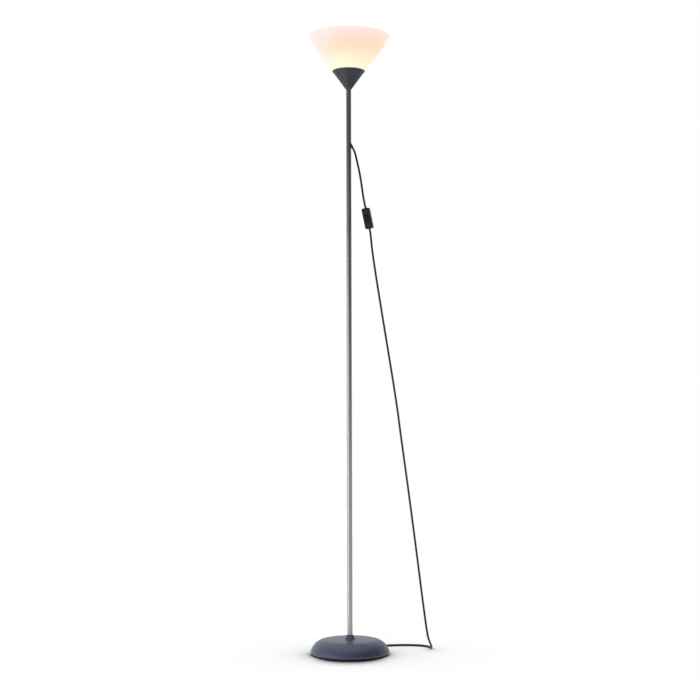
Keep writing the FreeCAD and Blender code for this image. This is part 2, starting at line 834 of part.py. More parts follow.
def switch_block(inset):
    """Rounded block of the switch, shrunk by an inset."""
    x = switch_width / 2 - inset
    y = switch_depth / 2 - inset
    z = switch_length / 2 - inset
    block = box((-x, -y, -z), (x, y, z))
    upright = [e for e in block.Edges if abs(e.tangentAt(e.FirstParameter).y) > 0.9]
    block = block.makeFillet(max(switch_corner - inset, 0.5), upright)
    if inset == 0:
        faces = [f for f in block.Faces if abs(abs(f.CenterOfMass.y) - y) < 0.01]
        rims = [e for f in faces for e in f.Edges]
        block = block.makeFillet(switch_edge, rims)
    return block


def screw_places():
    """The two case screws, at opposite corners (x, z)."""
    z = switch_length / 2 - case_screw_inset
    return [(case_screw_x, z), (-case_screw_x, -z)]


def clamp_middles():
    """Middle of each clamp bar along the switch."""
    z = switch_length / 2 - clamp_inset
    return [-z, z]


def clamp_places():
    """The four clamp screws (x, z)."""
    x = cord_radius + clamp_side_gap
    return [(side * x, z) for z in clamp_middles() for side in (-1, 1)]


def y_cylinder(radius, x, z, low, high):
    """Cylinder across the switch's depth."""
    return Part.makeCylinder(radius, high - low, V(x, low, z), V(0, 1, 0))


def switch_front():
    """Front half of the case, with finger pads, the rocker's opening and its posts."""
    front = -switch_depth / 2
    inner = case_front
    half = box((-switch_width, front - 3, -switch_length), (switch_width, 0, switch_length))
    body = switch_block(0).common(half).cut(switch_block(switch_wall))
    recess_z = rocker_length / 2 + 1.8
    body = body.cut(box((-switch_width, front - 1, -recess_z), (switch_width, front + 0.7, recess_z)))
    pad_near = recess_z + 0.6
    pad_far = switch_length / 2 - pad_end_room
    for low, high in ((pad_near, pad_far), (-pad_far, -pad_near)):
        pad = box((-8.2, front - 0.6, low), (8.2, front + 0.4, high))
        upright = [e for e in pad.Edges if abs(e.tangentAt(e.FirstParameter).y) > 0.9]
        body = body.fuse(pad.makeFillet(1.6, upright))
    opening_x = rocker_width / 2 + rocker_gap
    opening_z = rocker_length / 2 + rocker_gap
    body = body.cut(box((-opening_x, front - 2, -opening_z), (opening_x, inner + 1, opening_z)))
    for side in (-1, 1):
        near = side * (rocker_width / 2 + rocker_gap)
        far = near + side * 2.0
        post = box((min(near, far), inner - 0.5, -3.5), (max(near, far), -1.5, 3.5))
        pin = Part.makeCylinder(rocker_pin_radius + slide_gap, 2 * switch_width,
                                V(-switch_width, -rocker_pivot_depth, 0), V(1, 0, 0))
        body = body.fuse(post.cut(pin))
    for x, z in screw_places():
        body = body.fuse(y_cylinder(case_post_radius, x, z, inner - 0.5, 0))
        body = body.cut(y_cylinder(case_screw_radius + slide_gap, x, z, inner + 0.6, 1))
    for x, z in clamp_places():
        body = body.fuse(y_cylinder(clamp_post_radius, x, z, inner - 0.5, cord_radius - clamp_post_drop))
        body = body.cut(y_cylinder(clamp_screw_radius + slide_gap, x, z, inner + 0.6, cord_radius + 1))
    return body.cut(cord_holes()).removeSplitter()


def switch_back():
    """Back half of the case, with the screws' sunk holes."""
    back = switch_depth / 2
    half = box((-switch_width, 0, -switch_length), (switch_width, back + 3, switch_length))
    body = switch_block(0).common(half).cut(switch_block(switch_wall))
    for x, z in screw_places():
        body = body.fuse(y_cylinder(case_post_radius, x, z, 0, case_back + 0.5))
        body = body.cut(y_cylinder(1.6, x, z, -1, back + 1)).cut(y_cylinder(2.2, x, z, back - 1.9, back + 1))
    return body.cut(cord_holes()).removeSplitter()


def cord_holes():
    """Bore for the cord at both ends of the case."""
    return Part.makeCylinder(cord_radius + slide_gap, switch_length + 10, V(0, 0, -switch_length / 2 - 5))


def case_screws():
    """Two screws that hold the case together from the back."""
    back = switch_depth / 2
    screws = []
    for x, z in screw_places():
        shank = y_cylinder(case_screw_radius, x, z, -5.0, back - 1.8)
        head = y_cylinder(2.1, x, z, back - 1.8, back - 0.4)
        slot = box((x - 3, back - 0.9, z - 0.3), (x + 3, back + 1, z + 0.3))
        screws.append(shank.fuse(head).cut(slot))
    return Part.Compound(screws)


def rocker():
    """Rocker in its ON place, with its two pivot pins and the hole for the plunger."""
    half = rocker_length / 2
    pivot = V(0, -rocker_pivot_depth, 0)
    top = -switch_depth / 2 - 1.2
    points = [V(0, top, -half), V(0, top + 0.9, 0), V(0, top, half), V(0, -6.2, half),
              V(0, -5.6, 3.2), V(0, -1.6, 2.6), V(0, -1.6, -2.6), V(0, -5.6, -3.2), V(0, -6.2, -half)]
    body = Part.Face(Part.makePolygon(points + points[:1])).extrude(V(rocker_width, 0, 0))
    body.translate(V(-rocker_width / 2, 0, 0))
    body = body.common(Part.makeCylinder(half, rocker_width, V(-rocker_width / 2, -rocker_pivot_depth, 0),
                                         V(1, 0, 0)))
    pins = Part.makeCylinder(rocker_pin_radius, rocker_width + 3, V(-rocker_width / 2 - 1.5, pivot.y, 0),
                             V(1, 0, 0))
    bore = y_cylinder(plunger_radius + 2 * slide_gap, 0, 0, -6.2, 0)
    body = body.fuse(pins).cut(bore).removeSplitter()
    return swung(body)


def swung(shape):
    """Turn a rocker piece from level to its ON place."""
    turned_shape = shape.copy()
    turned_shape.rotate(V(0, -rocker_pivot_depth, 0), V(1, 0, 0), rocker_swing)
    return turned_shape


def rocker_plunger():
    """Plunger in the rocker that presses on the seesaw."""
    body = y_cylinder(plunger_radius, 0, 0, -3.0, -0.5)
    tip = Part.makeCone(plunger_radius, plunger_radius / 2, 0.6, V(0, -0.5, 0), V(0, 1, 0))
    return swung(body.fuse(tip).removeSplitter())


def plunger_spring():
    """Short coil spring behind the plunger."""
    wire = 0.2
    coil = Part.makeHelix(0.75, 2.6, 1.0)
    section = Part.Wire([Part.makeCircle(wire, V(1.0, 0, 0), V(0, 1, 0))])
    spring = Part.Wire(coil).makePipeShell([section], True, True)
    spring.rotate(V(0, 0, 0), V(1, 0, 0), -90)
    spring.translate(V(0, -5.85, 0))
    return swung(spring)


def contact_seesaw():
    """Contact strip that rocks on the pivot terminal, in its ON place."""
    near = seesaw_depth - seesaw_half_thickness
    far = seesaw_depth + seesaw_half_thickness
    strip = box((-2.0, near, -seesaw_half_length), (2.0, far, seesaw_half_length))
    strip.rotate(V(0, seesaw_depth, 0), V(1, 0, 0), -seesaw_tilt)
    return strip


def pivot_terminal():
    """Post with a narrow ridge that the seesaw rocks on."""
    post = box((-2.4, 2.3, -1.2), (2.4, terminal_back, 1.2))
    return post.fuse(box((-2.4, 1.27, -0.3), (2.4, 2.4, 0.3))).removeSplitter()


def seesaw_end():
    """Depth of the seesaw's back corner at its closed end."""
    tilt = math.radians(seesaw_tilt)
    return seesaw_depth + seesaw_half_length * math.sin(tilt) + seesaw_half_thickness * math.cos(tilt)


def fixed_terminal():
    """Post that the seesaw's end rests on."""
    low = seesaw_half_length - 1.6
    return box((-2.4, seesaw_end() + slide_gap, low), (2.4, terminal_back, seesaw_half_length + 1.4))


def build_switch():
    save("switch_front", in_place(switch_front()))
    save("switch_back", in_place(switch_back()))
    save("switch_rocker", in_place(rocker()))
    save("rocker_plunger", in_place(rocker_plunger()))
    save("plunger_spring", in_place(plunger_spring()))
    save("contact_seesaw", in_place(contact_seesaw()))
    save("pivot_terminal", in_place(pivot_terminal()))
    save("fixed_terminal", in_place(fixed_terminal()))
    save("case_screws", in_place(case_screws()))
    save("cord_clamps", in_place(cord_clamps()))
    save("clamp_screws", in_place(clamp_screws()))
    save("switch_wires", switch_wires())


def cord_clamps():
    """Two bars that press the cord into the case."""
    bars = []
    screw_x = cord_radius + clamp_side_gap
    reach = screw_x + clamp_end
    for z in clamp_middles():
        bar = box((-reach, cord_radius + press_gap, z - clamp_half_width),
                  (reach, clamp_top - press_gap, z + clamp_half_width))
        for x in (-screw_x, screw_x):
            bar = bar.cut(y_cylinder(clamp_screw_radius + 0.3, x, z, 0, clamp_top + 1))
        bars.append(bar)
    return Part.Compound(bars)


def clamp_screws():
    """Four small screws through the clamp bars."""
    screws = []
    for x, z in clamp_places():
        shank = y_cylinder(clamp_screw_radius, x, z, -4.5, clamp_top + 0.1)
        head = y_cylinder(1.5, x, z, clamp_top, clamp_top + clamp_head_height)
        screws.append(shank.fuse(head).removeSplitter())
    return Part.Compound(screws)


def switch_wires():
    """Live wires to the two terminals and the neutral that passes by."""
    end = switch_length / 2 - switch_cord_depth
    live_in = [(1.2, 0, end), (1.2, 0, seesaw_half_length + 4.6), (1.6, 3.4, seesaw_half_length + 2.2)]
    live_out = [(1.2, 0, -end), (1.2, 0, -end + 2.6), (1.4, 4.6, -8.4), (1.4, 4.6, -1.6)]
    neutral = [(-1.2, 0, end), (-1.2, 0, end - 2.4), (-5.2, 1.0, 8.5), (-5.2, 1.0, -8.5),
               (-1.2, 0, -end + 2.4), (-1.2, 0, -end)]
    wires = []
    for name, points in (("live_in", live_in), ("live_out", live_out), ("neutral", neutral)):
        wires.append(tube(name, [switch_point(*p) for p in points], wire_radius))
    return Part.Compound(wires)


# ---------------------------------------------------------------- free cord and plug
def build_cord():
    half = switch_length / 2
    end = half - switch_cord_depth
    lead = half + switch_cord_lead
    upper = [along_exit(cord_bush_depth), along_exit(cord_exit_lead)] + upper_route
    upper += [switch_point(0, 0, lead), switch_point(0, 0, end)]
    save("cord_upper", tube("cord_upper", upper, cord_radius))
    lower = [switch_point(0, 0, -end), switch_point(0, 0, -lead)] + lower_route
    lower += [(coil_centre.x + coil_stub, coil_front, coil_level)]
    save("cord_lower", tube("cord_lower", lower, cord_radius))
    save("cord_coil", cord_coil())
    tail = [(coil_centre.x - coil_stub, coil_front, coil_top_level)] + tail_route
    tail += [(plug_relief_start - plug_cord_depth, coil_front, plug_height / 2)]
    save("cord_tail", tube("cord_tail", tail, cord_radius))
    save("coil_tie", coil_tie())


def cord_coil():
    """Outer shape of the coiled cord, with the straight ends that lead in and out."""
    top = coil_top
    inner = coil_radius - coil_half
    outer = coil_radius + coil_half
    edge = coil_edge
    body = turned(
        (inner, edge), (rounding(inner, 0, edge, -1, -1), (inner + edge, 0)),
        (outer - edge, 0), (rounding(outer, 0, edge, 1, -1), (outer, edge)),
        (outer, top - edge), (rounding(outer, top, edge), (outer - edge, top)),
        (inner + edge, top), (rounding(inner, top, edge, -1, 1), (inner, top - edge)),
    )
    body.translate(coil_centre)
    start = V(coil_centre.x, coil_front, coil_level)
    end = V(coil_centre.x, coil_front, coil_top_level)
    lead_in = Part.makeCylinder(cord_radius, coil_stub, start, V(1, 0, 0))
    lead_out = Part.makeCylinder(cord_radius, coil_stub, end, V(-1, 0, 0))
    return body.fuse(lead_in).fuse(lead_out).removeSplitter()


def coil_tie():
    """Strap tied round the coil at its back."""
    half = coil_half + slide_gap
    strap = 1.0
    width = 8.0
    y = coil_centre.y + coil_radius
    top = coil_top + slide_gap
    block = box((coil_centre.x - width / 2, y - half - strap, 0.0),
                (coil_centre.x + width / 2, y + half + strap, top + strap))
    hollow = turned((coil_radius - half, -1), (coil_radius + half, -1),
                    (coil_radius + half, top), (coil_radius - half, top))
    hollow.translate(coil_centre)
    return block.cut(hollow)


def plug_body():
    """Flat moulded plug, narrowing towards its strain relief."""
    y = coil_front
    back = plug_back
    front = plug_front
    half = plug_width / 2
    points = [(back, 6.5), (back - 9, 11.5), (back - 16, half), (front + 6, half), (front, half - 5)]
    corners = [V(x, y + w, 0) for x, w in points] + [V(x, y - w, 0) for x, w in reversed(points)]
    body = Part.Face(Part.makePolygon(corners + corners[:1])).extrude(V(0, 0, plug_height))
    upright = [e for e in body.Edges if abs(e.tangentAt(e.FirstParameter).z) > 0.9]
    body = body.makeFillet(2.0, upright)
    rims = [e for f in body.Faces if abs(f.normalAt(0, 0).z) > 0.9 for e in f.Edges]
    body = body.makeFillet(1.6, rims)
    relief = Part.makeCone(plug_relief_root, plug_relief_tip, plug_relief_length + 1,
                           V(back - 1, y, plug_height / 2), V(1, 0, 0))
    body = body.fuse(relief).removeSplitter()
    bore = Part.makeCylinder(cord_radius + slide_gap, plug_cord_depth + 2,
                             V(plug_relief_start + 2, y, plug_height / 2), V(-1, 0, 0))
    body = body.cut(bore)
    for side in (-1, 1):
        hole = Part.makeCylinder(pin_root_radius + press_gap, pin_root_length + 1 + press_gap,
                                 V(front - 1, y + side * pin_spacing / 2, plug_height / 2), V(1, 0, 0))
        body = body.cut(hole)
    return body


def plug_pins():
    """Two round pins with tapered ends, each on a thinner root inside the plug."""
    outward = V(-1, 0, 0)
    full_length = pin_length - pin_shoulder - pin_tip_length
    pins = []
    for side in (-1, 1):
        face = V(plug_front, coil_front + side * pin_spacing / 2, plug_height / 2)
        root = Part.makeCylinder(pin_root_radius, pin_root_length + pin_shoulder,
                                 face - outward * pin_root_length, outward)
        shank = Part.makeCylinder(pin_radius, full_length, face + outward * pin_shoulder, outward)
        tip = Part.makeCone(pin_radius, pin_tip_radius, pin_tip_length,
                            face + outward * (pin_length - pin_tip_length), outward)
        pins.append(root.fuse([shank, tip]).removeSplitter())
    return Part.Compound(pins)


def build_plug():
    save("plug_body", plug_body())
    save("plug_pins", plug_pins())


os.makedirs("parts", exist_ok=True)
build_base()
build_pole()
build_head()
build_bulb()
build_switch()
build_cord()
build_plug()
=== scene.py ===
# %% [markdown]
# # Torchiere floor lamp
# A floor uplighter: a weighted round base, a slim pole in four lengths, a cone that holds a
# frosted bowl, and a black mains cord with a rocker switch on it. The mechanical pieces come
# ready made as the frame. This lesson gives them their finishes, lays the cord as one smooth
# line, and sets the lamp, switched on, in a plain white studio.

# %% Load the frame
import math

import bmesh
import bpy
from mathutils import Matrix, Vector


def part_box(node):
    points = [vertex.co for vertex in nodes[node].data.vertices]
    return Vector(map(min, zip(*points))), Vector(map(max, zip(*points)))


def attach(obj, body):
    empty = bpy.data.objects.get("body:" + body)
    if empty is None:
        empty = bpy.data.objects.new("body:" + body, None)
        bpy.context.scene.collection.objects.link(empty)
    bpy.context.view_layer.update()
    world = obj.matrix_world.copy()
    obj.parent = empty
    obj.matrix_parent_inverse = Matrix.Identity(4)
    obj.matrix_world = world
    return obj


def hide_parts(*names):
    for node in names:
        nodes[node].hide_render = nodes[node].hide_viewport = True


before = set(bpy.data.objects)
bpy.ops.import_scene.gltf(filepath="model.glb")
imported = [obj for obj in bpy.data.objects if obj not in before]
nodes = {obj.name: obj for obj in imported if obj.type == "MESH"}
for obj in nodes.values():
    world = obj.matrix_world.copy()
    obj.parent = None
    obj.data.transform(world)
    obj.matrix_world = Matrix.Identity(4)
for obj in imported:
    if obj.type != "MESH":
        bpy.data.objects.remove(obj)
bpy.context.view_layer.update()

# %% [markdown]
# ## Camera
# A tall thin object looks best from far away through a long lens, because its verticals then
# stay parallel. The camera stands low, a little over knee height, and looks slightly upward,
# so the bowl is seen from below and the base from above. A tiny roll matches a tripod that
# isn't quite level.

# %% Camera
camera_data = bpy.data.cameras.new("studio_camera")
camera_data.lens = 72.1
camera_data.sensor_width = 36.0
camera_data.clip_end = 200.0
camera = bpy.data.objects.new("studio_camera", camera_data)
bpy.context.collection.objects.link(camera)
camera_place = Vector((0.0022, -4.030, 0.658))
camera_pitch = 0.052
camera_roll = -0.0025
camera.matrix_world = (
    Matrix.Translation(camera_place)
    @ Matrix.Rotation(math.pi / 2 + camera_pitch, 4, "X")
    @ Matrix.Rotation(camera_roll, 4, "Z")
)
bpy.context.scene.camera = camera
print("camera at", tuple(round(v, 3) for v in camera_place), "lens", camera_data.lens)

# %% [markdown]
# ## The mains cord
# A round 6 mm lead leaves the pole through a bush, hangs in a short curve to the rocker
# switch, and falls from there to the floor behind the base, where the spare length is wound
# in a small tied coil that ends in a flat plug. A NURBS spline of order 3 is the natural
# tool: it is one smooth line that stays near the points it is given, so a few listed points
# make a cord that bends like rubber and not like wire. The thickness is given as
# each point's radius, because that is what Blender counts in a curve's bounding box.

# %% A smooth line with thickness
cord_radius = 0.003


def smooth_cord(name, points):
    """Round cord along one NURBS spline whose control points are given in metres."""
    line = bpy.data.curves.new(name, "CURVE")
    line.dimensions = "3D"
    line.resolution_u = 10
    line.bevel_depth = 1.0
    line.bevel_resolution = 5
    line.use_fill_caps = True
    spline = line.splines.new("NURBS")
    spline.points.add(len(points) - 1)
    for control, place in zip(spline.points, points):
        control.co = (*place, 1.0)
        control.radius = cord_radius
    spline.order_u = 3
    spline.use_endpoint_u = True
    piece = bpy.data.objects.new(name, line)
    bpy.context.collection.objects.link(piece)
    print(name, len(points), "control points")
    return piece


# %% Upper cord, from the pole to the switch
upper_points = [
    (0.004299, -0.003871, 1.464606),
    (0.016241, -0.014624, 1.445455),
    (0.0221, -0.0205, 1.4190),
    (0.0296, -0.0243, 1.3850),
    (0.0361, -0.0260, 1.3480),
    (0.0402, -0.0266, 1.3140),
    (0.045255, -0.026445, 1.287124),
    (0.050194, -0.025547, 1.262633),
]
upper_cord = smooth_cord("upper_cord", upper_points)

# %% Lower cord, from the switch to the floor
fall_points = [
    (0.057306, -0.024253, 1.227367),
    (0.062245, -0.023355, 1.202876),
    (0.0665, -0.0220, 1.1500),
    (0.0898, -0.0105, 1.0000),
    (0.1355, 0.0095, 0.7200),
    (0.1465, 0.0165, 0.6320),
    (0.1580, 0.0225, 0.5490),
    (0.1692, 0.0285, 0.4660),
    (0.1800, 0.0345, 0.3840),
    (0.1905, 0.0405, 0.3030),
    (0.2005, 0.0460, 0.2240),
    (0.2100, 0.0510, 0.1480),
    (0.2180, 0.0555, 0.0880),
    (0.2250, 0.0600, 0.0391),
    (0.2342, 0.0732, 0.0162),
    (0.2393, 0.0974, 0.00305),
    (0.2297, 0.1237, 0.00305),
    (0.2067, 0.1430, 0.00305),
    (0.1700, 0.1506, 0.00305),
    (0.1270, 0.1465, 0.00305),
    (0.0880, 0.1360, 0.00305),
    (0.0520, 0.1360, 0.00305),
]

# %% The coil: each turn lies flat, then climbs over the one before it
coil_middle = (0.030, 0.172)
coil_radius = 0.036
coil_pitch = 0.0063
coil_turns = 2
points_per_turn = 16
floor_level = 0.00305
climb_start = 0.70
climb_length = 0.25


def coil_points():
    """Control points of the flat stacked turns, clockwise seen from above."""
    places = []
    reach = coil_radius / math.cos(math.pi / points_per_turn) ** 0.5
    for step in range(coil_turns * points_per_turn + 1):
        turn = step / points_per_turn
        climbed = min(max((turn % 1 - climb_start) / climb_length, 0.0), 1.0)
        layer = math.floor(turn) + climbed
        angle = -math.pi / 2 - turn * 2 * math.pi
        places.append((
            coil_middle[0] + reach * math.cos(angle),
            coil_middle[1] + reach * math.sin(angle),
            floor_level + coil_pitch * layer,
        ))
    return places


tail_points = [
    (0.0180, 0.1360, 0.01560),
    (0.0070, 0.1360, 0.01230),
    (-0.0040, 0.1360, 0.00900),
    (-0.0140, 0.1360, 0.00700),
    (-0.0270, 0.1360, 0.00700),
]
lower_cord = smooth_cord("lower_cord", fall_points + coil_points() + tail_points)

# %% Declare both cords
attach(upper_cord, "root")
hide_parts("cord_upper")
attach(lower_cord, "root")
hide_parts("cord_lower", "cord_coil", "cord_tail")

# %% [markdown]
# ## Building blocks for the finishes
# Every finish is a small node tree. A few helpers add one node, set it and wire it, so each
# finish reads as a short list. Effects that several finishes share are node groups with
# named sockets: a moulded skin for the plastics, drawn lines for the metals, settled dust.

# %% One node at a time
def add(tree, kind, inputs=None, **settings):
    """Add a node, set its properties, then set or link its inputs by name or number."""
    made = tree.nodes.new(kind)
    for key, value in settings.items():
        setattr(made, key, value)
    for socket, value in (inputs or {}).items():
        if isinstance(value, bpy.types.NodeSocket):
            tree.links.new(value, made.inputs[socket])
        else:
            made.inputs[socket].default_value = value
    return made


def object_place(tree):
    """The point's place on the lamp, in metres."""
    return add(tree, "ShaderNodeTexCoord").outputs["Object"]


def parts_of(tree, vector):
    """The X, Y and Z of a vector."""
    return add(tree, "ShaderNodeSeparateXYZ", {0: vector}).outputs


# %% Helpers for numbers
def maths(tree, operation, *values):
    """Result of one Math node on these values."""
    return add(tree, "ShaderNodeMath", dict(enumerate(values)), operation=operation).outputs[0]


def span(tree, value, start, end, low=0.0, high=1.0):
    """Number that runs from low to high, and stays there, as value runs from start to end."""
    return add(tree, "ShaderNodeMapRange", {
        "Value": value, "From Min": start, "From Max": end, "To Min": low, "To Max": high,
    }).outputs["Result"]


def noise(tree, place, scale, detail):
    """Cloudy pattern between 0 and 1."""
    return add(tree, "ShaderNodeTexNoise", {
        "Vector": place, "Scale": scale, "Detail": detail,
    }).outputs["Fac"]


# %% Helpers for colours and normals
def scaled(tree, colour, factor):
    """A colour times a number."""
    return add(tree, "ShaderNodeVectorMath", {
        0: colour, "Scale": factor,
    }, operation="SCALE").outputs["Vector"]


def mixed(tree, factor, first, second):
    """Blend from the first colour to the second."""
    return add(tree, "ShaderNodeMix", {
        0: factor, 6: first, 7: second,
    }, data_type="RGBA").outputs[2]


def bumped(tree, height, strength, distance):
    """Normal that follows a height pattern."""
    return add(tree, "ShaderNodeBump", {
        "Strength": strength, "Distance": distance, "Height": height,
    }).outputs["Normal"]


# %% An empty node group with named sockets
surface_outputs = (("Colour", "Color"), ("Roughness", "Float"), ("Normal", "Vector"))


def new_group(name, numbers, colours=(), outputs=()):
    """Empty node group, with what it is given and the sockets for its results."""
    group = bpy.data.node_groups.new(name, "ShaderNodeTree")
    sockets = group.interface
    for colour in colours:
        sockets.new_socket(colour, in_out="INPUT", socket_type="NodeSocketColor")
    for number, usual in numbers.items():
        made = sockets.new_socket(number, in_out="INPUT", socket_type="NodeSocketFloat")
        made.default_value = usual
    for output, kind in outputs:
        sockets.new_socket(output, in_out="OUTPUT", socket_type="NodeSocket" + kind)
    given = group.nodes.new("NodeGroupInput").outputs
    results = group.nodes.new("NodeGroupOutput").inputs
    return group, given, results


def finish_group(group, results, made):
    """Wire what the group made to its results of the same names."""
    for name, output in made.items():
        group.links.new(output, results[name])
    print("group", group.name, "gives", ", ".join(made))
    return group


# %% Moulded skin: faint mottling, a fine grain and uneven gloss
def build_moulded_skin():
    group, given, results = new_group(
        "moulded_skin",
        {"Grain Scale": 900.0, "Grain Depth": 0.05, "Mottle": 0.08, "Roughness": 0.45},
        colours=("Colour",), outputs=surface_outputs,
    )
    place = object_place(group)
    centred = maths(group, "SUBTRACT", noise(group, place, 22.0, 4.0), 0.5)
    swing = maths(group, "MULTIPLY", centred, given["Mottle"])
    grain = noise(group, place, given["Grain Scale"], 2.0)
    return finish_group(group, results, {
        "Colour": scaled(group, given["Colour"], maths(group, "ADD", swing, 1.0)),
        "Roughness": maths(group, "MULTIPLY_ADD", centred, 0.12, given["Roughness"]),
        "Normal": bumped(group, grain, given["Grain Depth"], 0.0004),
    })


moulded_skin = build_moulded_skin()


# %% Drawn lines: hair-fine streaks along a tube or a turned part
def build_drawn_lines():
    group, given, results = new_group(
        "drawn_lines",
        {"Line Scale": 1500.0, "Stretch": 0.03, "Depth": 0.06, "Contrast": 0.12,
         "Roughness": 0.35},
        colours=("Colour",), outputs=surface_outputs,
    )
    place = object_place(group)
    lengthwise = add(group, "ShaderNodeCombineXYZ", {0: 1.0, 1: 1.0, 2: given["Stretch"]})
    stretched = add(group, "ShaderNodeVectorMath", {
        0: place, 1: lengthwise.outputs[0],
    }, operation="MULTIPLY").outputs["Vector"]
    lines = noise(group, stretched, given["Line Scale"], 3.0)
    smears = noise(group, place, 14.0, 3.0)
    centred = maths(group, "SUBTRACT", maths(group, "ADD", lines, smears), 1.0)
    gain = maths(group, "MULTIPLY_ADD", centred, given["Contrast"], 1.0)
    return finish_group(group, results, {
        "Colour": scaled(group, given["Colour"], gain),
        "Roughness": maths(group, "MULTIPLY_ADD", centred, 0.15, given["Roughness"]),
        "Normal": bumped(group, lines, given["Depth"], 0.0002),
    })


drawn_lines = build_drawn_lines()


# %% Settled dust: a soft mask on whatever faces up
def build_settled_dust():
    group, given, results = new_group(
        "settled_dust", {"Amount": 0.2}, outputs=(("Mask", "Float"),),
    )
    facing = parts_of(group, add(group, "ShaderNodeNewGeometry").outputs["Normal"])
    up = span(group, facing["Z"], 0.55, 1.0)
    patches = span(group, noise(group, object_place(group), 60.0, 6.0), 0.40, 0.75)
    lying = maths(group, "MULTIPLY", up, patches)
    return finish_group(group, results, {
        "Mask": maths(group, "MULTIPLY", lying, given["Amount"]),
    })


settled_dust = build_settled_dust()

# %% Start a finish and give it a group's look
finishes = {}


def new_finish(name, **shader_inputs):
    """Material with one Principled shader, whose plain values are set on its own sockets."""
    finish = bpy.data.materials.new(name)
    finish.use_nodes = True
    tree = finish.node_tree
    tree.nodes.clear()
    shader = add(tree, "ShaderNodeBsdfPrincipled", {
        socket.replace("_", " "): value for socket, value in shader_inputs.items()
    })
    add(tree, "ShaderNodeOutputMaterial", {"Surface": shader.outputs["BSDF"]})
    finishes[name] = finish
    print("finish", name)
    return tree, shader


def wear(tree, shader, group, colour, values, names=("Colour", "Roughness", "Normal")):
    """Place a group with its own colour and values, and wire it to the shader."""
    look = add(tree, "ShaderNodeGroup", {"Colour": (*colour, 1.0), **values}, node_tree=group)
    sockets = {"Colour": "Base Color", "Roughness": "Roughness", "Normal": "Normal"}
    for name in names:
        tree.links.new(look.outputs[name], shader.inputs[sockets[name]])
    return look


# %% The two plain kinds of finish
def plastic(name, colour, roughness, grain_scale, grain_depth, mottle, **shader_inputs):
    """Moulded plastic, rubber or any other plain matt body."""
    tree, shader = new_finish(name, **shader_inputs)
    wear(tree, shader, moulded_skin, colour, {
        "Grain Scale": grain_scale, "Grain Depth": grain_depth,
        "Mottle": mottle, "Roughness": roughness,
    })


def metal(name, colour, roughness, stretch, line_scale, depth, contrast):
    """Metal with fine lines along its length, or all round when the stretch is 1."""
    tree, shader = new_finish(name, Metallic=1.0)
    wear(tree, shader, drawn_lines, colour, {
        "Stretch": stretch, "Line Scale": line_scale, "Depth": depth,
        "Contrast": contrast, "Roughness": roughness,
    })


# %% [markdown]
# ## Slate plastic of the base and the cone
# Both are moulded in a blue-grey plastic with a soft satin skin. The base shows a broad
# gentle highlight and a little dust on its top. The cone is the same plastic; its darker
# colour is painted shade, because the cone faces down, away from the light. The dust is a
# mask that blends a second colour in, so it needs no second material.

# %% Base cover and holder cone
slate = (0.059, 0.068, 0.118)
# The cone's colour below is the slate darkened as painted shade, since the cone faces down, away
# from the light.
shaded_slate = (0.023, 0.025, 0.035)
dust_grey = (0.33, 0.33, 0.34)


def dusty_plastic(name, colour, roughness, dust_amount):
    """Satin plastic under a thin clear coat, with dust on what faces up."""
    tree, shader = new_finish(name, Coat_Weight=0.12, Coat_Roughness=0.35)
    skin = wear(tree, shader, moulded_skin, colour, {
        "Grain Scale": 1400.0, "Grain Depth": 0.03, "Mottle": 0.05, "Roughness": roughness,
    }, ("Roughness", "Normal"))
    dust = add(tree, "ShaderNodeGroup", {"Amount": dust_amount}, node_tree=settled_dust)
    film = mixed(tree, dust.outputs["Mask"], skin.outputs["Colour"], (*dust_grey, 1.0))
    tree.links.new(film, shader.inputs["Base Color"])


dusty_plastic("cover_plastic", slate, 0.36, 0.06)
dusty_plastic("holder_plastic", shaded_slate, 0.48, 0.05)

# %% [markdown]
# ## Satin pole and the other metals
# The pole is thin steel tube, lacquered in satin silver. What makes it look like metal is
# a long soft streak of light down one side and a dark one down the other, so its finish is
# nearly smooth and leaves the work to the lights. The small parts get plainer metals. The
# ballast in the base is a rough cast weight and takes a plain matt body.

# %% Metals
metal("pole_satin", (0.465, 0.46, 0.45), 0.26, 0.02, 1800.0, 0.01, 0.03)
metal("zinc_steel", (0.55, 0.56, 0.58), 0.32, 0.4, 700.0, 0.10, 0.25)
metal("brass", (0.62, 0.44, 0.17), 0.30, 0.6, 900.0, 0.06, 0.20)
metal("cap_aluminium", (0.70, 0.71, 0.72), 0.34, 1.0, 500.0, 0.05, 0.15)
metal("plug_nickel", (0.66, 0.64, 0.60), 0.22, 0.8, 1200.0, 0.03, 0.10)
metal("filament_wire", (0.35, 0.34, 0.33), 0.45, 1.0, 1500.0, 0.05, 0.10)
plastic("ballast", (0.18, 0.175, 0.17), 0.85, 160.0, 0.8, 0.5)

# %% [markdown]
# ## Plastics, rubber, wire and porcelain
# Small black parts differ in gloss and grain more than in colour: the switch case is a
# spark-eroded matt, the rocker a little glossier, the cord a soft vinyl and the foot ring a
# dull rubber. A low specular level keeps the case and the rocker a deep black.

# %% Black parts
plastic(
    "black_plastic", (0.009, 0.009, 0.010), 0.42, 1600.0, 0.08, 0.06, Specular_IOR_Level=0.32,
)
plastic(
    "rocker_plastic", (0.005, 0.005, 0.005), 0.22, 900.0, 0.03, 0.05, Specular_IOR_Level=0.15,
)
plastic("black_rubber", (0.020, 0.020, 0.020), 0.75, 700.0, 0.20, 0.25)
plastic("cord_black", (0.008, 0.008, 0.009), 0.42, 500.0, 0.04, 0.10)

# %% Pale parts and wires
plastic("lampholder_plastic", (0.72, 0.70, 0.65), 0.40, 800.0, 0.04, 0.06)
plastic("porcelain", (0.78, 0.76, 0.72), 0.30, 500.0, 0.05, 0.05)
plastic("wire_brown", (0.13, 0.045, 0.018), 0.40, 700.0, 0.04, 0.10)
plastic("wire_blue", (0.03, 0.09, 0.32), 0.40, 700.0, 0.04, 0.10)

# %% [markdown]
# ## Clear glass inside the bulb
# The stem that holds the filament is clear glass. The shader's own transmission does it, and
# the moulded skin adds only a trace of waviness.

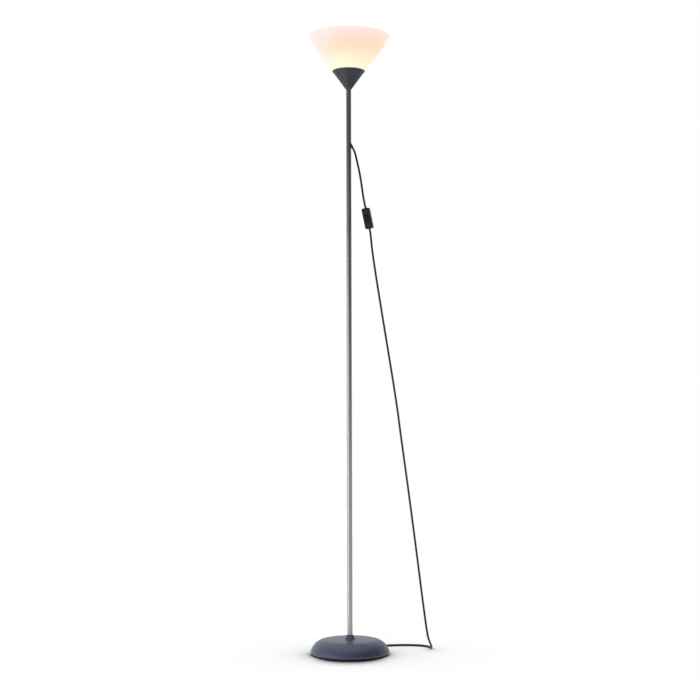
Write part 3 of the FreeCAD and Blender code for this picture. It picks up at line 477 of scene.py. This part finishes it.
# %% Clear stem glass
stem_tree, stem_shader = new_finish("stem_glass", Transmission_Weight=1.0, IOR=1.5)
wear(stem_tree, stem_shader, moulded_skin, (0.93, 0.95, 0.95), {
    "Grain Depth": 0.01, "Roughness": 0.06,
})

# %% [markdown]
# ## The lit bowl
# With the bulb on, the frosted bowl glows: pale yellow low down beside the bulb, a warm
# peach at mid height, and pink towards the thin rim. A real simulation of light in frosted
# plastic is slow and grainy, so the glow is light given off by the surface, in a colour
# that follows the height. The inner wall faces the bulb and glows more evenly.

# %% Glow by height
bowl_low, bowl_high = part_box("shade")
outer_stops = [
    (0.00, (0.93, 0.88, 0.64)),
    (0.10, (0.93, 0.85, 0.60)),
    (0.22, (0.92, 0.82, 0.56)),
    (0.32, (0.90, 0.77, 0.52)),
    (0.42, (0.93, 0.71, 0.48)),
    (0.52, (0.92, 0.66, 0.45)),
    (0.62, (0.91, 0.645, 0.45)),
    (0.74, (0.92, 0.66, 0.52)),
    (0.86, (0.94, 0.70, 0.62)),
    (0.97, (0.90, 0.74, 0.69)),
    (1.00, (0.86, 0.76, 0.73)),
]
inner_stops = [(0.0, (1.0, 0.95, 0.78)), (0.5, (1.0, 0.90, 0.70)), (1.0, (1.0, 0.82, 0.66))]
bulb_stops = [
    (0.0, (0.55, 0.40, 0.24)),
    (0.35, (0.98, 0.84, 0.62)),
    (0.7, (1.0, 0.93, 0.80)),
    (1.0, (1.0, 0.90, 0.74)),
]
print("bowl from", round(bowl_low[2], 4), "to", round(bowl_high[2], 4), "m")


# %% Helpers for the glow
def ramp(tree, value, stops):
    """Colour that follows a value through exactly these stops."""
    node = add(tree, "ShaderNodeValToRGB", {"Fac": value})
    elements = node.color_ramp.elements
    while len(elements) > 1:
        elements.remove(elements[0])
    elements[0].position = stops[0][0]
    elements[0].color = (*stops[0][1], 1.0)
    for position, colour in stops[1:]:
        elements.new(position).color = (*colour, 1.0)
    return node.outputs["Color"]


def inner_wall(tree, place):
    """Mask of the wall whose normal points at the lamp's axis."""
    normal = add(tree, "ShaderNodeNewGeometry").outputs["Normal"]
    outward = add(tree, "ShaderNodeVectorMath", {
        0: place, 1: (1.0, 1.0, 0.0),
    }, operation="MULTIPLY").outputs["Vector"]
    facing = add(tree, "ShaderNodeVectorMath", {
        0: outward, 1: normal,
    }, operation="DOT_PRODUCT").outputs["Value"]
    return maths(tree, "LESS_THAN", facing, 0.0)


# %% Frosted bowl
rosy = (0.92, 0.73, 0.74, 1.0)
amber = (0.89, 0.65, 0.50, 1.0)
thin_milk = (0.10, 0.092, 0.088, 1.0)
thick_milk = (0.12, 0.112, 0.108, 1.0)
cloud_shift = 0.12


def build_bowl_glow():
    """Outside colour by height, rosier towards one side and more amber to the other."""
    tree, shader = new_finish(
        "shade_frosted", Roughness=0.38, Emission_Strength=1.0, IOR=1.46,
    )
    place = object_place(tree)
    parts = parts_of(tree, place)
    height = span(tree, parts["Z"], bowl_low[2], bowl_high[2])
    cloud = noise(tree, place, 16.0, 2.0)
    shifted = maths(tree, "MULTIPLY_ADD", cloud, cloud_shift, height)
    outside = ramp(tree, maths(tree, "SUBTRACT", shifted, cloud_shift / 2), outer_stops)
    outside = mixed(tree, span(tree, parts["X"], -0.035, -0.115), outside, rosy)
    outside = mixed(tree, span(tree, parts["X"], 0.02, 0.11, high=0.45), outside, amber)
    inside = ramp(tree, height, inner_stops)
    glow = mixed(tree, inner_wall(tree, place), outside, inside)
    milk = mixed(tree, cloud, thin_milk, thick_milk)
    frost = bumped(tree, noise(tree, place, 900.0, 2.0), 0.05, 0.0003)
    tree.links.new(milk, shader.inputs["Base Color"])
    tree.links.new(frost, shader.inputs["Normal"])
    tree.links.new(glow, shader.inputs["Emission Color"])


build_bowl_glow()

# %% [markdown]
# ## The lit bulb
# The bulb is frosted too, and darkens towards its cap. It takes a ramp by height like the
# bowl's, three times as strong, because from above it is seen inside the bowl and should
# look hotter than the bowl does.


# %% Lit bulb
def build_bulb_glow():
    """Glow by height, over pale glass."""
    tree, shader = new_finish("bulb_frosted", Roughness=0.30, Emission_Strength=3.0)
    shader.inputs["Base Color"].default_value = (0.85, 0.83, 0.80, 1.0)
    glass_low, glass_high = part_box("bulb_glass")
    place = object_place(tree)
    height = span(tree, parts_of(tree, place)["Z"], glass_low[2], glass_high[2])
    frost = bumped(tree, noise(tree, place, 500.0, 2.0), 0.03, 0.0003)
    tree.links.new(frost, shader.inputs["Normal"])
    tree.links.new(ramp(tree, height, bulb_stops), shader.inputs["Emission Color"])


build_bulb_glow()

# %% [markdown]
# ## Dressing the lamp
# Each ready-made piece has a material slot whose name says what it is made of. The finishes
# carry the same names, so a short loop dresses the whole lamp, its inner parts included.

# %% Each node's slot takes the finish of the same name
for name, node in nodes.items():
    for slot in node.material_slots:
        slot.material = finishes[slot.material.name.split(".")[0]]
for cord_piece in (upper_cord, lower_cord):
    cord_piece.data.materials.append(finishes["cord_black"])
print(len(finishes), "finishes on", len(nodes), "nodes")

# %% [markdown]
# ## Studio floor
# The lamp stands on white paper that runs out to a white background. A studio like this is
# easiest to fake in two halves. The camera sees plain white paper with only a soft contact
# shadow on it, taken from ambient occlusion and deepest in front of the base. To light and
# reflections the floor is a pale sheet that glows a little, more so on the left.

# %% Floor sheet
floor_mesh = bpy.data.meshes.new("studio_floor")
sheet = bmesh.new()
bmesh.ops.create_grid(sheet, x_segments=1, y_segments=1, size=60.0)
sheet.to_mesh(floor_mesh)
sheet.free()
floor = bpy.data.objects.new("studio_floor", floor_mesh)
bpy.context.collection.objects.link(floor)
print("floor sheet", len(floor_mesh.vertices), "corners")


# %% Contact shadow
def contact_shadow(tree, place):
    """Ambient occlusion raised to a power that grows close in front of the base."""
    parts = parts_of(tree, place)
    distance = add(tree, "ShaderNodeVectorMath", {0: place}, operation="LENGTH").outputs["Value"]
    in_front = span(tree, parts["Y"], -0.11, -0.05, 1.0, 0.0)
    close_by = span(tree, distance, 0.12, 0.21, 1.0, 0.0)
    in_middle = span(tree, maths(tree, "ABSOLUTE", parts["X"]), 0.03, 0.11, 14.0, 0.0)
    beside_base = maths(tree, "MULTIPLY", in_front, close_by)
    power = maths(tree, "MULTIPLY_ADD", beside_base, in_middle, 2.4)
    nearby = add(tree, "ShaderNodeAmbientOcclusion", {"Distance": 0.35}, samples=64)
    return maths(tree, "POWER", nearby.outputs["AO"], power)


# %% Floor finish
floor_tree, floor_shader = new_finish("studio_floor", Roughness=0.9, Specular_IOR_Level=0.0)
floor_shader.inputs["Base Color"].default_value = (0.80, 0.80, 0.81, 1.0)
floor_shader.inputs["Emission Color"].default_value = (1.0, 1.0, 1.0, 1.0)
on_floor = object_place(floor_tree)
pool = span(floor_tree, parts_of(floor_tree, on_floor)["X"], -0.60, 0.10, 0.30, 0.20)
floor_tree.links.new(pool, floor_shader.inputs["Emission Strength"])
paper = add(floor_tree, "ShaderNodeEmission", {
    "Strength": contact_shadow(floor_tree, on_floor),
})
floor_look = add(floor_tree, "ShaderNodeMixShader", {
    0: add(floor_tree, "ShaderNodeLightPath").outputs["Is Camera Ray"],
    1: floor_shader.outputs["BSDF"], 2: paper.outputs["Emission"],
})
floor_end = next(node for node in floor_tree.nodes if node.type == "OUTPUT_MATERIAL")
floor_tree.links.new(floor_look.outputs["Shader"], floor_end.inputs["Surface"])
floor_mesh.materials.append(finishes["studio_floor"])
print("floor finish", len(floor_tree.nodes), "nodes")

# %% [markdown]
# ## World and lights
# The world is made in two halves as well: plain white to the camera, and a real studio to
# light and reflections. That studio has a weak patch overhead, a pale backdrop behind, a low
# band along the horizon that is brighter on the left, and dark walls elsewhere, so the upper
# pole turns dark and the lower pole pale. A big soft box on the left and a small one near
# the floor model the base. The small one is hidden from reflections, so it leaves no streak
# on the pole.

# %% World
world = bpy.data.worlds.new("studio_world")
bpy.context.scene.world = world
world.use_nodes = True
sky = world.node_tree
sky.nodes.clear()
towards = parts_of(sky, add(sky, "ShaderNodeTexCoord").outputs["Generated"])
ceiling = span(sky, towards["Z"], 0.70, 0.85, 0.0, 1.10)
backdrop = maths(
    sky, "MULTIPLY",
    span(sky, towards["Y"], 0.10, 0.45, 0.09, 0.80),
    span(sky, towards["X"], 0.10, 0.70, 1.0, 0.85),
)
low_band = maths(
    sky, "MULTIPLY",
    span(sky, towards["Z"], 0.0, 0.15, 1.0, 0.0),
    span(sky, towards["X"], -0.55, 0.45, 0.85, 0.05),
)
studio = maths(sky, "MAXIMUM", maths(sky, "MAXIMUM", ceiling, backdrop), low_band)
light_world = add(sky, "ShaderNodeBackground", {
    "Color": (0.97, 0.985, 1.03, 1.0), "Strength": studio,
})
plain_world = add(sky, "ShaderNodeBackground", {"Color": (1.0, 1.0, 1.0, 1.0), "Strength": 1.0})
world_look = add(sky, "ShaderNodeMixShader", {
    0: add(sky, "ShaderNodeLightPath").outputs["Is Camera Ray"],
    1: light_world.outputs[0], 2: plain_world.outputs[0],
})
add(sky, "ShaderNodeOutputWorld", {"Surface": world_look.outputs[0]})
print("world", len(sky.nodes), "nodes")


# %% Soft boxes
def soft_box(name, place, aim, width, height, power):
    """White area light at a place, turned to a point, unseen by the camera."""
    light = bpy.data.lights.new(name, "AREA")
    light.shape = "RECTANGLE"
    light.size = width
    light.size_y = height
    light.energy = power
    lamp = bpy.data.objects.new(name, light)
    bpy.context.collection.objects.link(lamp)
    turn = (Vector(aim) - Vector(place)).to_track_quat("-Z", "Y")
    lamp.matrix_world = Matrix.Translation(place) @ turn.to_matrix().to_4x4()
    lamp.visible_camera = False
    print("light", name, power, "W")
    return lamp


soft_box("left_box", (-2.6, -1.2, 0.75), (0.0, 0.0, 0.45), 3.0, 1.5, 15.0)
low_box = soft_box("low_box", (-1.25, -0.5, 0.14), (-0.03, 0.0, 0.02), 0.6, 0.24, 9.0)
low_box.visible_glossy = False
bpy.context.scene.view_settings.view_transform = "Standard"

# %% [markdown]
# ## Last step
# The view layer is brought up to date once more.

# %% Update the view layer
bpy.context.view_layer.update()
